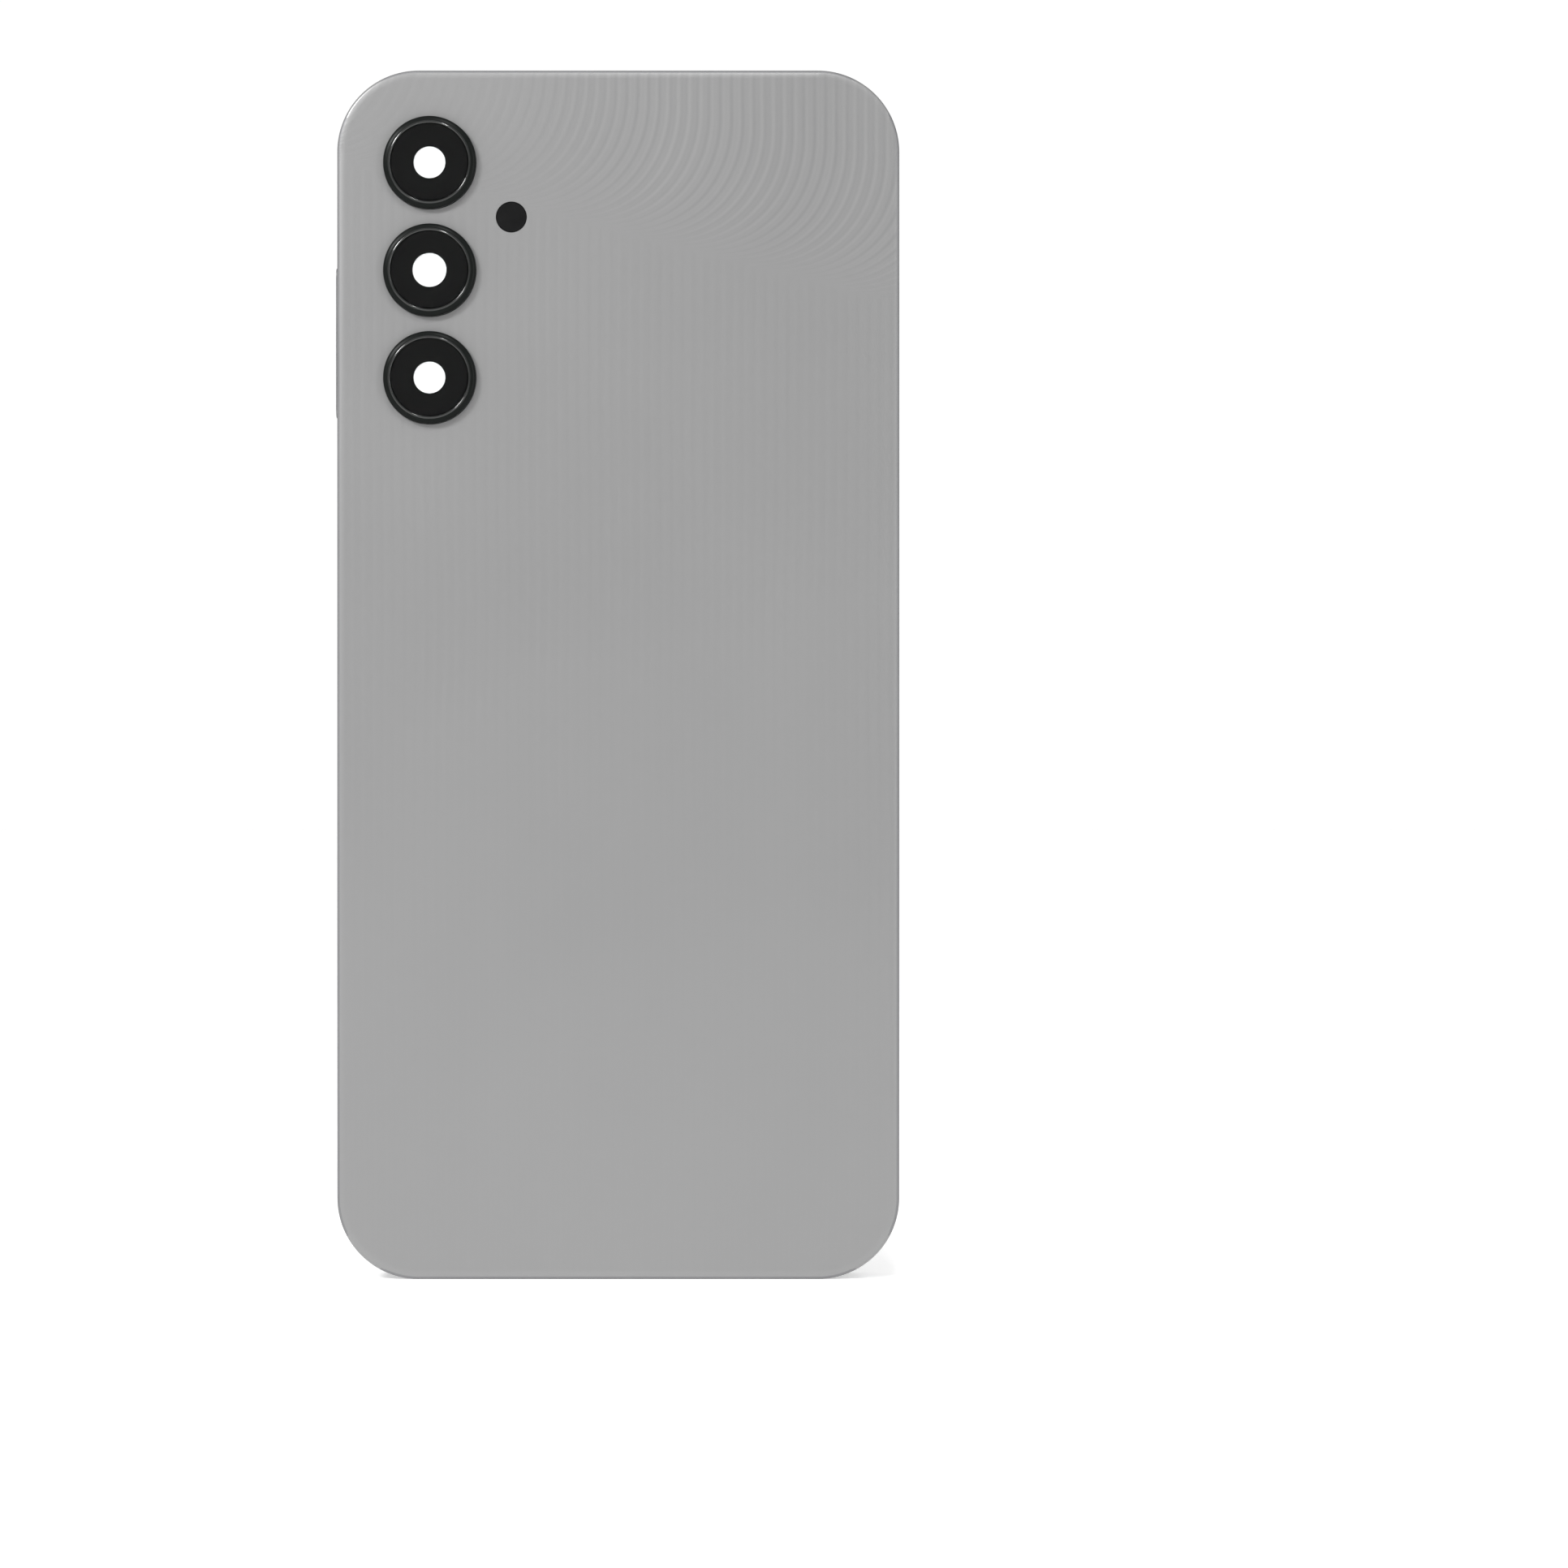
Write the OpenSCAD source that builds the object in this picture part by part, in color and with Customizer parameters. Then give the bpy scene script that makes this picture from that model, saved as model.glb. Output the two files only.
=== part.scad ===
// Rear housing assembly of a smartphone: back and side frame in one moulding, with its camera
// trims, camera bracket, flash window, volume key, tapes and dust meshes.
// The part stands upright: X across, Z up along its height, Y through its thickness.
// The outer back face looks along -Y and the open side along +Y. The keys are on the -X side.

/* [Housing] */
// Width over the side walls
body_w = 78; // [72:0.5:95]
// Height
body_h = 167.7; // [138:0.1:205]
// Thickness from the back face to the rim
body_t = 8.4; // [7.2:0.1:9.4]
// Radius of the four corners
corner_r = 11.3; // [9:0.1:14]
// Thickness of the side walls
wall_t = 1.6; // [1.4:0.05:2]
// Thickness of the back panel
floor_t = 0.9; // [0.85:0.05:1.2]
// Round where the back panel meets the side walls, outside
back_round_r = 0.5; // [0.4:0.05:1]
// Width of the slope outside the flat rim
rim_slope_w = 0.5; // [0.3:0.05:0.6]
// Depth of the slope outside the flat rim
rim_slope_t = 0.9; // [0.5:0.1:1.2]
// Round where the back panel meets the side walls, inside
floor_fillet_r = 1.5; // [0.8:0.1:1.6]

/* [Cameras] */
// Distance from the key side to the camera axis
camera_side_d = 12.9; // [12.5:0.1:16]
// Distance from the top edge to the upper camera
camera_top_d = 12.9; // [12.5:0.1:16]
// Distance from one camera to the next
camera_pitch = 14.9; // [14:0.1:18]
// Outside diameter of a trim ring
ring_d = 12.85; // [11.6:0.05:13.8]
// Height of a trim ring above the back face
ring_proud = 1.15; // [0.9:0.05:1.6]
// Width of a trim ring's raised lip
ring_lip_w = 1.02; // [0.8:0.02:1.2]
// Depth of the seat in the back face that a trim ring stands in
ring_seat_t = 0.4; // [0.3:0.05:0.5]
// Thickness of a cover glass
glass_t = 0.6; // [0.4:0.05:0.7]
// Diameter of the clear window, upper and lower camera
small_window_d = 4.4; // [3.6:0.1:5.2]
// Diameter of the clear window, middle camera
large_window_d = 4.7; // [4:0.1:5.6]

/* [Camera bracket] */
// Height of the bracket above its tape
bracket_t = 2.2; // [2:0.1:2.6]
// Diameter of the hole in the upper and lower seat
small_bore_d = 2.85; // [2.4:0.05:3.4]
// Diameter of the hole in the middle seat
large_bore_d = 5; // [4.2:0.1:5.8]
// Outside radius of a camera seat's round groove
seat_r = 5.3; // [4.6:0.1:5.6]

/* [Flash] */
// Distance from the key side to the flash
flash_side_d = 24.2; // [23:0.1:30]
// Distance from the top edge to the flash
flash_top_d = 20.4; // [19:0.1:25]
// Diameter of the flash window
flash_d = 4.25; // [3.5:0.05:5]
// Side of the square tape round the flash
flash_tape_w = 6.5; // [6:0.1:7]

/* [Keys] */
// Distance from the top edge to the middle of the volume key
volume_top_d = 37.5; // [34:0.5:45]
// Length of the volume key
volume_len = 20.9; // [17:0.1:25.2]
// Height of the keys, through the thickness of the phone
key_h = 2.4; // [2:0.1:2.8]
// How far the volume key stands out of the side wall
key_proud = 0.45; // [0.3:0.05:0.7]
// Distance from the top edge to the middle of the power key's slot
power_top_d = 68.4; // [66:0.1:76]
// Length of the power key's slot
power_len = 14; // [11:0.5:15]
// Turn of the volume key each way, in degrees
key_turn = 1.2; // [0.6:0.1:1.3]

/* [Ports] */
// Width of the charging port's hole
port_w = 9.2; // [8.8:0.1:9.6]
// Height of the charging port's hole
port_h = 3.4; // [3.1:0.1:3.6]
// Diameter of a loudspeaker hole
speaker_hole_d = 1.1; // [0.9:0.05:1.4]
// Distance between loudspeaker holes
speaker_pitch = 1.75; // [1.6:0.05:2.1]
// Number of loudspeaker holes
speaker_holes = 6; // [4:1:7]
// Distance from the key side to the nearest loudspeaker hole
speaker_side_d = 14.05; // [13.5:0.05:17]
// Diameter of the microphone hole
mic_d = 1; // [0.8:0.1:1.2]
// Distance from the middle to the microphone hole
mic_x = 10.7; // [10:0.1:14]

/* [Hidden] */
$fn = 96;
eps = 0.01;
// Places in the thickness: the back face, the inside of the back panel and the rim
back_y = -body_t / 2;
floor_y = back_y + floor_t;
rim_y = body_t / 2;
// Places along the walls
inner_w = body_w - 2 * wall_t;
inner_r = corner_r - wall_t;
key_side_x = -body_w / 2;
key_wall_x = key_side_x + wall_t;

// Clearances
ring_gap = 0.05;
glass_gap = 0.07;
tape_gap = 0.15;
key_gap = 0.12;

// Camera pieces
camera_x = key_side_x + camera_side_d;
camera_z = [for (i = [0:2]) body_h - camera_top_d - i * camera_pitch];
window_d = [small_window_d, large_window_d, small_window_d];
bore_d = [small_bore_d, large_bore_d, small_bore_d];
ring_r = ring_d / 2;
ring_tube_r = ring_r - 0.65;
ring_top_y = back_y - ring_proud;
ring_edge_r = 0.45;
glass_r = ring_r - ring_lip_w;
glass_sunk = 0.12;
glass_y = ring_top_y + glass_sunk;
seal_t = 0.12;
seal_y = glass_y + glass_t;
ledge_y = seal_y + seal_t;
ledge_w = 0.8;
film_t = 0.1;
film_r = large_window_d / 2 + 0.9;

// Tapes
tape_t = 0.15;
tape_y = floor_y + tape_t;
tape_edge = wall_t + floor_fillet_r + 0.1;
bracket_y = tape_y + bracket_t;
tape_side_x = camera_x + 10.1;
tape_low_z = camera_z[2] - 10.5;

// Bracket: reach from the camera axis towards the key side and the middle of the phone
bracket_out = 7.4;
bracket_in = 7.2;
bracket_top = 7.7;
bracket_low = 5.9;
tail_low = 10;
tail_out = 3.65;
tail_in = 4.3;
seat_depth = 0.5;
seat_ring_w = 0.45;
seat_floor = 1.1;
octagon_r = 3.3;

// Flash pieces
flash_x = key_side_x + flash_side_d;
flash_z = body_h - flash_top_d;
flash_r = flash_d / 2;
window_t = 0.55;
lens_r = flash_r + 0.12;
lens_proud = 0.3;

// Keys
key_y = 0.3;
volume_z = body_h - volume_top_d;
power_z = body_h - power_top_d;
carriage_t = 0.8;
carriage_end = 3;
carriage_len = volume_len + 2 * carriage_end;
// Room for the key to rock: behind its strip's ends, and at its own ends in the wall
carriage_gap = carriage_len / 2 * sin(key_turn) + 0.08;
carriage_x = key_wall_x + carriage_gap;
key_end_gap = (wall_t + key_proud + carriage_t + 1) * sin(key_turn) + 0.1;
nub_pitch = 7.2;
nub_r = 0.6;
pivot_x = carriage_x + carriage_t + 0.2;
pin_r = 0.3;
pin_head_r = 0.45;
pin_gap = carriage_gap - 0.04;
pin_x = carriage_x + carriage_t + pin_gap + pin_r;
pin_z = [for (side = [-1, 1]) volume_z + side * (carriage_len / 2 - 1.3)];
boss_r = 0.85;

// Clip pockets along the key side, from below the power key to above the lower corner
pocket_low_z = 33.6;
pocket_high_z = power_z - 18.9;
pocket_len = [4.6, 5.2, 4.6, 6.7];
pocket_count = len(pocket_len);
pocket_pitch = (pocket_high_z - pocket_low_z) / (pocket_count - 1);
pocket_z = [for (i = [0:pocket_count - 1]) pocket_high_z - i * pocket_pitch];
pocket_x = key_side_x + 5.5;
pocket_plate_t = 0.7;
pocket_rib_t = 0.45;
pocket_rib_h = 2;
pocket_rib_reach = 0.5;
rib_z = [for (dz = [4.3, 2.2, -3.1, -5.2]) power_z + dz];
rib_x = key_side_x + 4;
hook_low_z = pocket_low_z - 7;

// Catches of the front frame
corner_x = body_w / 2 - corner_r;
catch_len = 2.6;
catch_z = concat(pocket_z, [15.4]);

// Side tape
strip_out_x = key_side_x + 3.9;
strip_in_x = key_side_x + 6.3;
strip_wide = 0.65;
strip_low_z = 4.9;
strip_top_z = camera_z[2] - 7.9;
strip_gap = 0.2;
finger_w = 1.55;

// Ports
port_y = 0.3;
mesh_t = 0.2;
speaker_x = [for (i = [0:speaker_holes - 1]) key_side_x + speaker_side_d + i * speaker_pitch];

// ---- Shared shapes ----

// Stands an outline drawn in X and Z up as a plate from y0 to y1
module plate(y0, y1) {
    translate([0, y1, 0]) rotate([90, 0, 0]) linear_extrude(y1 - y0) children();
}

// A round rod along Y
module rod_y(x, z, r, y0, y1) {
    translate([x, y1, z]) rotate([90, 0, 0]) cylinder(r = r, h = y1 - y0);
}

// A box from its low corner to its high corner
module block(low, high) {
    translate(low) cube(high - low);
}

// A rectangle from its low corner to its high corner
module area(low, high) {
    translate(low) square(high - low);
}

// A rectangle with round corners. The radii run from the low corner, low row first.
module round_area(low, high, radii) {
    corners = [for (k = [0, 1], j = [0, 1]) [[low[0], high[0]][j], [low[1], high[1]][k]]];
    inward = [[1, 1], [-1, 1], [1, -1], [-1, -1]];
    difference() {
        area(low, high);
        for (i = [0:3]) translate(corners[i]) square(2 * radii[i], center = true);
    }
    for (i = [0:3]) translate(corners[i] + inward[i] * radii[i]) circle(radii[i]);
}

// A rectangle with the same round on all four corners
module soft_area(low, high, r) round_area(low, high, [r, r, r, r]);

// A long hole with round ends, drawn along the first axis
module slot_area(len, width) {
    square([len - width, width], center = true);
    for (side = [-1, 1]) translate([side * (len - width) / 2, 0]) circle(width / 2);
}

// Carries a wall section round the housing: four straight sides and four quarter turns.
// The section's first axis runs outwards from the corner's centre, its second from the back face.
module around_housing() {
    translate([0, back_y, body_h / 2]) for (i = [0:3]) {
        half = i % 2 == 0 ? body_w / 2 : body_h / 2;
        run = (i % 2 == 0 ? body_h : body_w) - 2 * corner_r;
        rotate([0, -90 * i, 0]) translate([half - corner_r, 0, -run / 2]) {
            linear_extrude(run) children();
            rotate([-90, 0, 0]) rotate_extrude(angle = 90) children();
        }
    }
}

// A plug along X through the wall on the key side, with a long round outline along Z
module key_side_plug(z, y, len, height, x0, x1) {
    translate([x0, y, z]) rotate([90, 0, 90]) rotate([0, 0, 90]) linear_extrude(x1 - x0)
        slot_area(len, height);
}

// ---- Rear shell ----

module wall_section() {
    fillet_u = inner_r - floor_fillet_r;
    fillet_v = floor_t + floor_fillet_r;
    difference() {
        union() {
            square([corner_r - back_round_r, body_t]);
            translate([0, back_round_r]) square([corner_r, body_t - back_round_r]);
            translate([corner_r - back_round_r, back_round_r]) circle(back_round_r);
        }
        area([-1, floor_t], [fillet_u, body_t + 1]);
        area([-1, fillet_v], [inner_r, body_t + 1]);
        translate([fillet_u, fillet_v]) circle(floor_fillet_r);
        polygon([
            [corner_r - rim_slope_w, body_t + eps],
            [corner_r + eps, body_t - rim_slope_t],
            [corner_r + 1, body_t - rim_slope_t],
            [corner_r + 1, body_t + eps]
        ]);
    }
}

// A clip pocket on the key side: a plate on the floor between two ribs
module clip_pocket(z, len) {
    block([pocket_x, floor_y - eps, z - len / 2], [key_wall_x + eps, floor_y + pocket_plate_t, z + len / 2]);
    for (side = [-1, 1]) {
        edge_z = z + side * (len - pocket_rib_t) / 2;
        block(
            [pocket_x + pocket_rib_reach, floor_y - eps, edge_z - pocket_rib_t / 2],
            [key_wall_x + eps, floor_y + pocket_rib_h, edge_z + pocket_rib_t / 2]
        );
    }
}

// The recess that a catch of the front frame snaps into. It and the lugs are drawn for a wall
// whose inner face lies along X, with the hollow on the +Z side.
module catch_recess() {
    recess_t = 0.5;
    clear_t = 0.6;
    translate([-catch_len / 2, rim_y - 2.1, -recess_t]) cube([catch_len, 1, recess_t + clear_t]);
}

// The two lugs beside a catch's recess
module catch_lugs() {
    lug_w = 0.5;
    lug_t = 0.3;
    for (side = [-1, 1])
        translate([side * (catch_len + lug_w) / 2 - lug_w / 2, rim_y - 2.3, -eps])
            cube([lug_w, 2.1, lug_t + eps]);
}

// Repeats what is drawn for a wall at each catch of the four walls
module at_catches() {
    for (x = [-corner_x + 0.8, -6.3]) translate([x, 0, body_h - wall_t]) rotate([0, 180, 0]) children();
    for (x = [-corner_x + 0.1, -8.1, 6.7]) translate([x, 0, wall_t]) children();
    for (z = catch_z, side = [-1, 1])
        translate([side * inner_w / 2, 0, z]) rotate([0, -90 * side, 0]) children();
}

// Short ribs and small brackets between the back panel and the key side wall
module side_ribs() {
    rib_t = 0.35;
    cap_t = 0.45;
    cap_x = key_side_x + 2.7;
    hook_x = key_side_x + 2.3;
    // A wall from the key side wall inwards to x, between two heights
    module rib(x, z0, z1, rise) block([key_wall_x - eps, floor_y - eps, z0], [x, floor_y + rise, z1]);
    // A wall across the end of a rib
    module cap(x, z0, z1, rise) block([x, floor_y - eps, z0], [x + cap_t, floor_y + rise, z1]);
    for (z = rib_z) rib(rib_x, z - rib_t / 2, z + rib_t / 2, 1.8);
    // T-shaped ribs between the lower pockets
    for (i = [1:2]) {
        z = (pocket_z[i] + pocket_z[i + 1]) / 2;
        rib(cap_x + eps, z - rib_t / 2, z + rib_t / 2, 1.8);
        cap(cap_x, z - 1.6, z + 1.6, 1.8);
    }
    // Hooks above and below the power key, the upper one turned over
    for (hook = [[power_z + 8.9, -1], [power_z - 13.6, 1]]) {
        z = hook[0];
        foot_z = z - hook[1] * 1.05;
        cap(hook_x, z - 1.05, z + 1.05, 2);
        rib(hook_x + cap_t, foot_z - 0.25, foot_z + 0.25, 2);
    }
    // Hook below the lowest pocket
    cap(cap_x, hook_low_z, hook_low_z + 1.7, 1.8);
    rib(cap_x + cap_t, hook_low_z - rib_t, hook_low_z + eps, 1.8);
}

// Faint raised steps on the back panel, where the battery and the boards are set down
module floor_steps() {
    step_t = 0.12;
    line_w = 0.35;
    y0 = floor_y - eps;
    y1 = floor_y + step_t;
    step_x = key_side_x + 7.1;
    module step(low, high) block([low[0], y0, low[1]], [high[0], y1, high[1]]);
    // A stepped field beside the clip pockets
    field_top_z = pocket_z[0] + 3.2;
    step([step_x, field_top_z - 22.5], [step_x + 10.7, field_top_z]);
    step([step_x, field_top_z - eps], [step_x + 4.7, field_top_z + 4.3]);
    // A frame near the lower corner
    difference() {
        step([step_x - 0.1, 14.9], [step_x + 11, 25.3]);
        step([step_x - 0.1 + line_w, 14.9 + line_w], [step_x + 11 - line_w, 25.3 - line_w]);
    }
    // Corner lines that locate the lower board
    for (corner = [[2.5, 12.4, -4.4, 3.7], [-2.4, 13.7, -8.45, 7.1], [-13.9, 13.7, -5.8, 5.9]]) {
        x = corner[0];
        z = corner[1];
        step([x - line_w, z], [x, z + corner[3]]);
        step([x + corner[2], z], [x, z + line_w]);
    }
}

// Round posts that the key's retaining pins are pressed into
module pin_bosses() {
    for (z = pin_z) rod_y(pin_x, z, boss_r, floor_y - eps, key_y - key_h / 2 - 0.15);
}

module pin_holes() {
    for (z = pin_z) rod_y(pin_x, z, pin_r, floor_y, key_y);
}

module camera_holes() {
    for (z = camera_z) {
        rod_y(camera_x, z, ring_r + ring_gap, back_y - 1, back_y + ring_seat_t);
        rod_y(camera_x, z, ring_tube_r + ring_gap, back_y, floor_y + 1);
    }
}

module flash_holes() {
    rod_y(flash_x, flash_z, flash_r + 0.03, back_y - 1, floor_y);
    rod_y(flash_x, flash_z, lens_r + 0.03, back_y + window_t, floor_y + 1);
}

module port_holes() {
    translate([0, port_y, -1]) linear_extrude(wall_t + 2) slot_area(port_w, port_h);
    for (x = speaker_x) translate([x, port_y, -1]) cylinder(d = speaker_hole_d, h = wall_t + 2);
    translate([mic_x, port_y, -1]) cylinder(d = mic_d, h = wall_t + 2);
}

module key_holes() {
    key_side_plug(volume_z, key_y, volume_len + 2 * key_end_gap, key_h + 2 * key_gap,
        key_side_x - 1, key_wall_x + 0.5);
    key_side_plug(power_z, key_y, power_len, key_h + 2 * key_gap, key_side_x - 1, key_wall_x + 0.5);
}

module rear_shell() {
    color([0.66, 0.67, 0.68]) difference() {
        union() {
            around_housing() wall_section();
            plate(back_y, floor_y) area(
                [-body_w / 2 + corner_r - eps, corner_r - eps],
                [body_w / 2 - corner_r + eps, body_h - corner_r + eps]
            );
            for (i = [0:pocket_count - 1]) clip_pocket(pocket_z[i], pocket_len[i]);
            side_ribs();
            floor_steps();
            pin_bosses();
            at_catches() catch_lugs();
        }
        at_catches() catch_recess();
        camera_holes();
        flash_holes();
        port_holes();
        key_holes();
        pin_holes();
    }
}

// ---- Cameras ----

module camera_ring(i) {
    rise = ring_proud + floor_t;
    color([0.06, 0.06, 0.06]) translate([camera_x, ring_top_y, camera_z[i]]) rotate([-90, 0, 0])
        rotate_extrude() difference() {
            union() {
                area([glass_r - ledge_w, 0], [ring_r - ring_edge_r, ring_proud + ring_seat_t]);
                area([glass_r - ledge_w, ring_edge_r], [ring_r, ring_proud + ring_seat_t]);
                translate([ring_r - ring_edge_r, ring_edge_r]) circle(ring_edge_r);
                area([glass_r - ledge_w, ring_edge_r], [ring_tube_r, rise]);
            }
            area([0, -1], [glass_r, ledge_y - ring_top_y]);
        }
}

module camera_glass(i) {
    color([0.1, 0.1, 0.12, 0.5])
        rod_y(camera_x, camera_z[i], glass_r - glass_gap, glass_y, seal_y);
}

module glass_seal(i) {
    color([0.02, 0.02, 0.02]) difference() {
        rod_y(camera_x, camera_z[i], glass_r - glass_gap, seal_y, ledge_y);
        rod_y(camera_x, camera_z[i], window_d[i] / 2, seal_y - 1, ledge_y + 1);
    }
}

module lens_film(i) {
    color([0.95, 0.95, 0.95]) rod_y(camera_x, camera_z[i], film_r, ledge_y, ledge_y + film_t);
}

// ---- Camera bracket ----

module bracket_outline() {
    out_x = camera_x - bracket_out;
    in_x = camera_x + bracket_in;
    top_z = camera_z[0] + bracket_top;
    low_z = camera_z[2] - bracket_low;
    difference() {
        // The key side's top corner is rounder
        round_area([out_x, low_z], [in_x, top_z], [0.6, 0.6, 1.6, 0.6]);
        // Cut corner low on the key side
        translate([out_x, camera_z[2]]) polygon([[-1, -7], [-1, -0.4], [0, -1.4], [1.1, -2.5], [1.1, -7]]);
        // Notch between the middle and the lower camera
        area([in_x - 0.9, camera_z[2] + 4.1], [in_x + 1, camera_z[1] - 5]);
    }
    // Tail with cut corners
    translate([camera_x, camera_z[2]]) polygon([
        [-tail_out, -bracket_low + 1], [-tail_out, -tail_low + 0.8], [-tail_out + 0.8, -tail_low],
        [tail_in - 0.8, -tail_low], [tail_in, -tail_low + 0.8], [tail_in, -bracket_low + 1]
    ]);
}

// Small snap tabs round the edge of the bracket: reach, height and place from the camera axis
module bracket_tabs() {
    module tab(x, z, w, h)
        soft_area([camera_x + x - w / 2, z - h / 2], [camera_x + x + w / 2, z + h / 2], 0.3);
    tab(bracket_in, camera_z[0] + 5, 0.9, 1.4);
    tab(bracket_in - 0.9, camera_z[1] - 7.4, 1, 1.9);
    tab(-bracket_out, camera_z[0] + 0.8, 1, 1.6);
    tab(-bracket_out, camera_z[0] - 5, 0.7, 0.8);
    tab(-bracket_out, camera_z[1] + 2.4, 1.5, 2.6);
    tab(-bracket_out + 1.1, camera_z[2] - 3.8, 1.5, 2);
    tab(-tail_out, camera_z[2] - 8.5, 1.2, 1.3);
    tab(tail_in, camera_z[2] - 8.5, 1.2, 1.3);
}

// A seat for a fixed camera: round groove, eight-sided step and a notch for the camera's key
module small_seat(z, notch_side) {
    difference() {
        rod_y(camera_x, z, seat_r, bracket_y - seat_depth, bracket_y + 1);
        rod_y(camera_x, z, seat_r - seat_ring_w, bracket_y - seat_depth - 1, bracket_y - 0.2);
    }
    translate([camera_x, bracket_y + 1, z]) rotate([90, 22.5, 0])
        cylinder(r = octagon_r + 0.8, h = 1.35, $fn = 8);
    translate([camera_x, bracket_y + 1, z]) rotate([90, 22.5, 0])
        cylinder(r = octagon_r, h = 1 + seat_floor, $fn = 8);
    notch_z = z + notch_side * 4.4;
    block([camera_x - 1.6, bracket_y - 0.8, notch_z - 1], [camera_x + 1.6, bracket_y + 1, notch_z + 1]);
}

// The seat for the main camera: a plain round recess with a groove round it
module large_seat(z) {
    rod_y(camera_x, z, seat_r, bracket_y - seat_depth, bracket_y + 1);
    difference() {
        rod_y(camera_x, z, seat_r, bracket_y - seat_depth - 0.3, bracket_y + 1);
        rod_y(camera_x, z, seat_r - seat_ring_w, bracket_y - seat_depth - 1, bracket_y + 2);
    }
    rod_y(camera_x, z, large_bore_d / 2 + 0.35, bracket_y - seat_depth - 0.3, bracket_y + 1);
}

// Round marks that the mould's pins leave, from the upper camera: across, down and radius
module pin_marks() {
    mark_t = 0.06;
    marks = [
        [4.4, -5.9, 0.9], [-3.5, -6, 1], [-5.9, -2.8, 0.95], [-6, 2.2, 0.95], [3.8, 5.6, 0.95],
        [-4.8, 10.1, 1], [5, 10.1, 0.8], [-4.8, 19.5, 1], [4.8, 20.8, 0.8], [-5.2, 23.6, 1.1]
    ];
    for (m = marks) rod_y(camera_x + m[0], camera_z[0] - m[1], m[2], bracket_y - mark_t, bracket_y + 1);
}

module camera_bracket() {
    color([0.13, 0.13, 0.13]) difference() {
        union() {
            plate(tape_y, bracket_y) bracket_outline();
            plate(tape_y, bracket_y - 0.9) bracket_tabs();
        }
        small_seat(camera_z[0], -1);
        large_seat(camera_z[1]);
        small_seat(camera_z[2], 1);
        for (i = [0:2]) rod_y(camera_x, camera_z[i], bore_d[i] / 2, tape_y - 1, bracket_y + 1);
        pin_marks();
    }
}

// ---- Tapes ----

// The flat part of the back panel's inner face, inside its round edge
module flat_floor() {
    soft_area(
        [key_side_x + tape_edge, tape_edge], [-key_side_x - tape_edge, body_h - tape_edge],
        corner_r - tape_edge
    );
}

module flash_tape_outline(grow) {
    half = flash_tape_w / 2 + grow;
    tab_w = 2.4 + 2 * grow;
    tab_up = 2.1;
    soft_area([flash_x - half, flash_z - half], [flash_x + half, flash_z + half], 0.7);
    soft_area([flash_x - half, flash_z], [flash_x - half + tab_w, flash_z + half + tab_up], 1.1);
}

module flash_tape() {
    color([0.14, 0.14, 0.14]) plate(floor_y, tape_y) difference() {
        flash_tape_outline(0);
        translate([flash_x, flash_z]) circle(lens_r + 0.05);
    }
}

// The narrow finger at the top of the side tape
module strip_finger(grow) {
    area([strip_in_x - finger_w - grow, tape_low_z - 1], [strip_in_x + grow, strip_top_z + grow]);
}

module bracket_tape() {
    color([0.72, 0.72, 0.72]) plate(floor_y, tape_y) difference() {
        intersection() {
            flat_floor();
            union() {
                area([key_side_x, tape_low_z], [tape_side_x, body_h]);
                area([tape_side_x - 1, camera_z[0] - 1.1], [tape_side_x + 0.45, camera_z[0] + 3.9]);
            }
        }
        for (z = camera_z) translate([camera_x, z]) circle(ring_tube_r + ring_gap);
        flash_tape_outline(tape_gap);
        strip_finger(tape_gap);
        for (z = pin_z) translate([pin_x, z]) circle(boss_r + tape_gap);
    }
}

module side_tape() {
    color([0.32, 0.32, 0.32]) plate(floor_y, tape_y) difference() {
        intersection() {
            flat_floor();
            union() {
                area([strip_out_x, strip_low_z], [strip_in_x, tape_low_z - tape_gap]);
                strip_finger(0);
                for (i = [0:pocket_count - 1]) area(
                    [strip_in_x - 1, pocket_z[i] - pocket_len[i] / 2 - 2.1],
                    [strip_in_x + strip_wide, pocket_z[i] + pocket_len[i] / 2 + 2.1]
                );
            }
        }
        for (i = [0:pocket_count - 1]) area(
            [strip_out_x - 1, pocket_z[i] - pocket_len[i] / 2 - strip_gap],
            [pocket_x + pocket_rib_reach + strip_gap, pocket_z[i] + pocket_len[i] / 2 + strip_gap]
        );
        for (z = rib_z) area([strip_out_x - 1, z - 0.4], [rib_x + strip_gap, z + 0.4]);
    }
}

// ---- Flash ----

module flash_window() {
    color([0.15, 0.15, 0.16]) rod_y(flash_x, flash_z, flash_r, back_y + 0.05, back_y + window_t);
}

// Pressed lens with ring steps on its inner face
module flash_lens() {
    lens_h = floor_t - window_t + lens_proud;
    color([0.8, 0.8, 0.78]) translate([flash_x, back_y + window_t, flash_z]) rotate([-90, 0, 0])
        rotate_extrude() difference() {
            area([0, 0], [lens_r, lens_h]);
            for (k = [1:4]) polygon([
                [k * 0.45 - 0.2, lens_h + 0.1], [k * 0.45, lens_h - 0.12], [k * 0.45 + 0.03, lens_h + 0.1]
            ]);
        }
}

// ---- Keys ----

module volume_key() {
    color([0.7, 0.7, 0.71]) key_side_plug(volume_z, key_y, volume_len, key_h, key_side_x - key_proud, carriage_x);
}

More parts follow.
